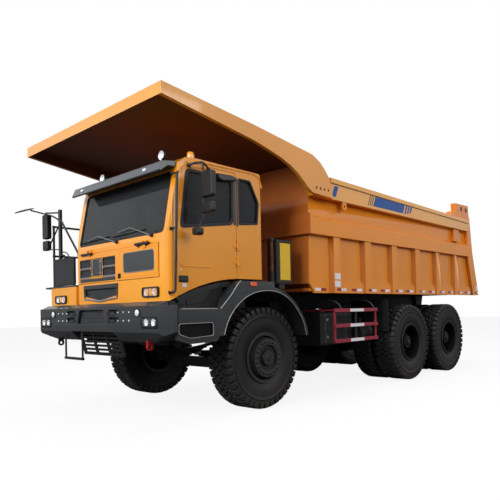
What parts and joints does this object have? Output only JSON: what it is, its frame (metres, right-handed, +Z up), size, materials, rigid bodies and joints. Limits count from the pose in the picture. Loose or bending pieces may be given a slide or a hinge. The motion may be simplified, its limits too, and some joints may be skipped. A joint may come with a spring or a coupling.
{
  "type": "mining dump truck",
  "caption": "Three-axle mining dump truck with a side-set cab, a hooded tipping body, twin rear wheels, steering, an opening door and a front service flap.",
  "frame": {"origin": "on the ground, midway along the truck's length and width", "axes": "+Z up, the truck faces -Y, +X is its left side"},
  "size_m": [3.9598, 9.66, 4.132],
  "materials": {
    "frame_black": "semi-gloss black chassis paint",
    "bumper_grey": "satin dark grey paint",
    "cab_orange": "gloss orange-yellow paint",
    "body_orange": "gloss orange paint",
    "tinted_glass": "dark tinted glass",
    "lamp": "clear lamp lens",
    "amber_lens": "amber lens",
    "black_plastic": "black moulded plastic and tube",
    "black_rubber": "black rubber sheet",
    "engine_grey": "cast iron",
    "guard_maroon": "maroon paint",
    "seat_fabric": "dark woven seat fabric",
    "bright_steel": "chromed rod",
    "tyre": "black tyre rubber",
    "rim_grey": "dark grey wheel paint"
  },
  "bodies": {
    "chassis": {"frame_rails": "frame_black", "crossmembers": "frame_black", "front_bumper": "bumper_grey", "skid_plate": "frame_black", "lamps": "lamp", "cab_shell": "cab_orange", "cab_glass": "tinted_glass", "visor": "bumper_grey", "mirror_right": "black_plastic", "fenders": "bumper_grey", "walkway": "frame_black", "engine": "engine_grey", "air_cleaner": "black_plastic", "tanks": "frame_black", "side_guards": "guard_maroon", "front_axle": "frame_black", "drive_axles": "frame_black", "springs": "frame_black", "drive_shafts": "frame_black", "seats": "seat_fabric", "dashboard": "black_plastic"},
    "door": {"door_shell": "cab_orange", "door_glass": "tinted_glass", "mirror_left": "black_plastic"},
    "flap": {"front_flap": "cab_orange"},
    "bed": {"dump_body": "body_orange", "bed_subframe": "body_orange", "canopy": "body_orange"},
    "hoist_barrel": {"hoist_barrels": "frame_black"},
    "hoist_rod": {"hoist_rods": "bright_steel"},
    "knuckle_left": {"knuckle_left": "frame_black"},
    "knuckle_right": {"knuckle_right": "frame_black"},
    "tie_rod": {"tie_rod": "frame_black"},
    "front_wheel_left": {"front_tyre_left": "tyre", "front_rim_left": "rim_grey"},
    "front_wheel_right": {"front_tyre_right": "tyre", "front_rim_right": "rim_grey"},
    "mid_wheels_left": {"mid_tyres_left": "tyre", "mid_rims_left": "rim_grey"},
    "mid_wheels_right": {"mid_tyres_right": "tyre", "mid_rims_right": "rim_grey"},
    "rear_wheels_left": {"rear_tyres_left": "tyre", "rear_rims_left": "rim_grey"},
    "rear_wheels_right": {"rear_tyres_right": "tyre", "rear_rims_right": "rim_grey"}
  },
  "joints": [
    {"name": "bed_tilt", "type": "hinge", "parent": "chassis", "child": "bed", "pos_m": [0, 3.94, 1.35], "axis": [-1, 0, 0], "range_deg": [0, 45]},
    {"name": "hoist_swing", "type": "hinge", "parent": "chassis", "child": "hoist_barrel", "pos_m": [0, -0.08, 1.1], "axis": [1, 0, 0], "range_deg": [0, 18.3]},
    {"name": "hoist_extend", "type": "slide", "parent": "hoist_barrel", "child": "hoist_rod", "axis": [0, 0.972, 0.2351], "range_m": [0, 1.182]},
    {"name": "door_swing", "type": "hinge", "parent": "chassis", "child": "door", "pos_m": [1.618, -3.277, 2.2], "axis": [0, 0, 1], "range_deg": [0, 75]},
    {"name": "flap_swing", "type": "hinge", "parent": "chassis", "child": "flap", "pos_m": [0.4, -4.44, 2.32], "axis": [-1, 0, 0], "range_deg": [0, 70]},
    {"name": "steer_left", "type": "hinge", "parent": "chassis", "child": "knuckle_left", "pos_m": [1.04, -2.68, 0.7465], "axis": [0, 0, 1], "range_deg": [-30, 30]},
    {"name": "steer_right", "type": "hinge", "parent": "chassis", "child": "knuckle_right", "pos_m": [-1.04, -2.68, 0.7465], "axis": [0, 0, 1], "range_deg": [-30, 30]},
    {"name": "tie_rod_pivot", "type": "hinge", "parent": "knuckle_left", "child": "tie_rod", "pos_m": [1.04, -2.38, 0.6], "axis": [0, 0, 1], "range_deg": [-30, 30]},
    {"name": "front_roll_left", "type": "hinge", "parent": "knuckle_left", "child": "front_wheel_left", "pos_m": [1.315, -2.68, 0.7465], "axis": [1, 0, 0], "continuous": true},
    {"name": "front_roll_right", "type": "hinge", "parent": "knuckle_right", "child": "front_wheel_right", "pos_m": [-1.315, -2.68, 0.7465], "axis": [1, 0, 0], "continuous": true},
    {"name": "mid_roll_left", "type": "hinge", "parent": "chassis", "child": "mid_wheels_left", "pos_m": [1.295, 1.27, 0.7465], "axis": [1, 0, 0], "continuous": true},
    {"name": "mid_roll_right", "type": "hinge", "parent": "chassis", "child": "mid_wheels_right", "pos_m": [-1.295, 1.27, 0.7465], "axis": [1, 0, 0], "continuous": true},
    {"name": "rear_roll_left", "type": "hinge", "parent": "chassis", "child": "rear_wheels_left", "pos_m": [1.295, 3.01, 0.7465], "axis": [1, 0, 0], "continuous": true},
    {"name": "rear_roll_right", "type": "hinge", "parent": "chassis", "child": "rear_wheels_right", "pos_m": [-1.295, 3.01, 0.7465], "axis": [1, 0, 0], "continuous": true}
  ],
  "couplings": [
    {"joint": "hoist_swing", "follows": "bed_tilt", "ratio": 0.39563},
    {"joint": "hoist_extend", "follows": "bed_tilt", "m_per_rad": 1.4926},
    {"joint": "steer_right", "follows": "steer_left", "ratio": 1},
    {"joint": "tie_rod_pivot", "follows": "steer_left", "ratio": -1}
  ]
}
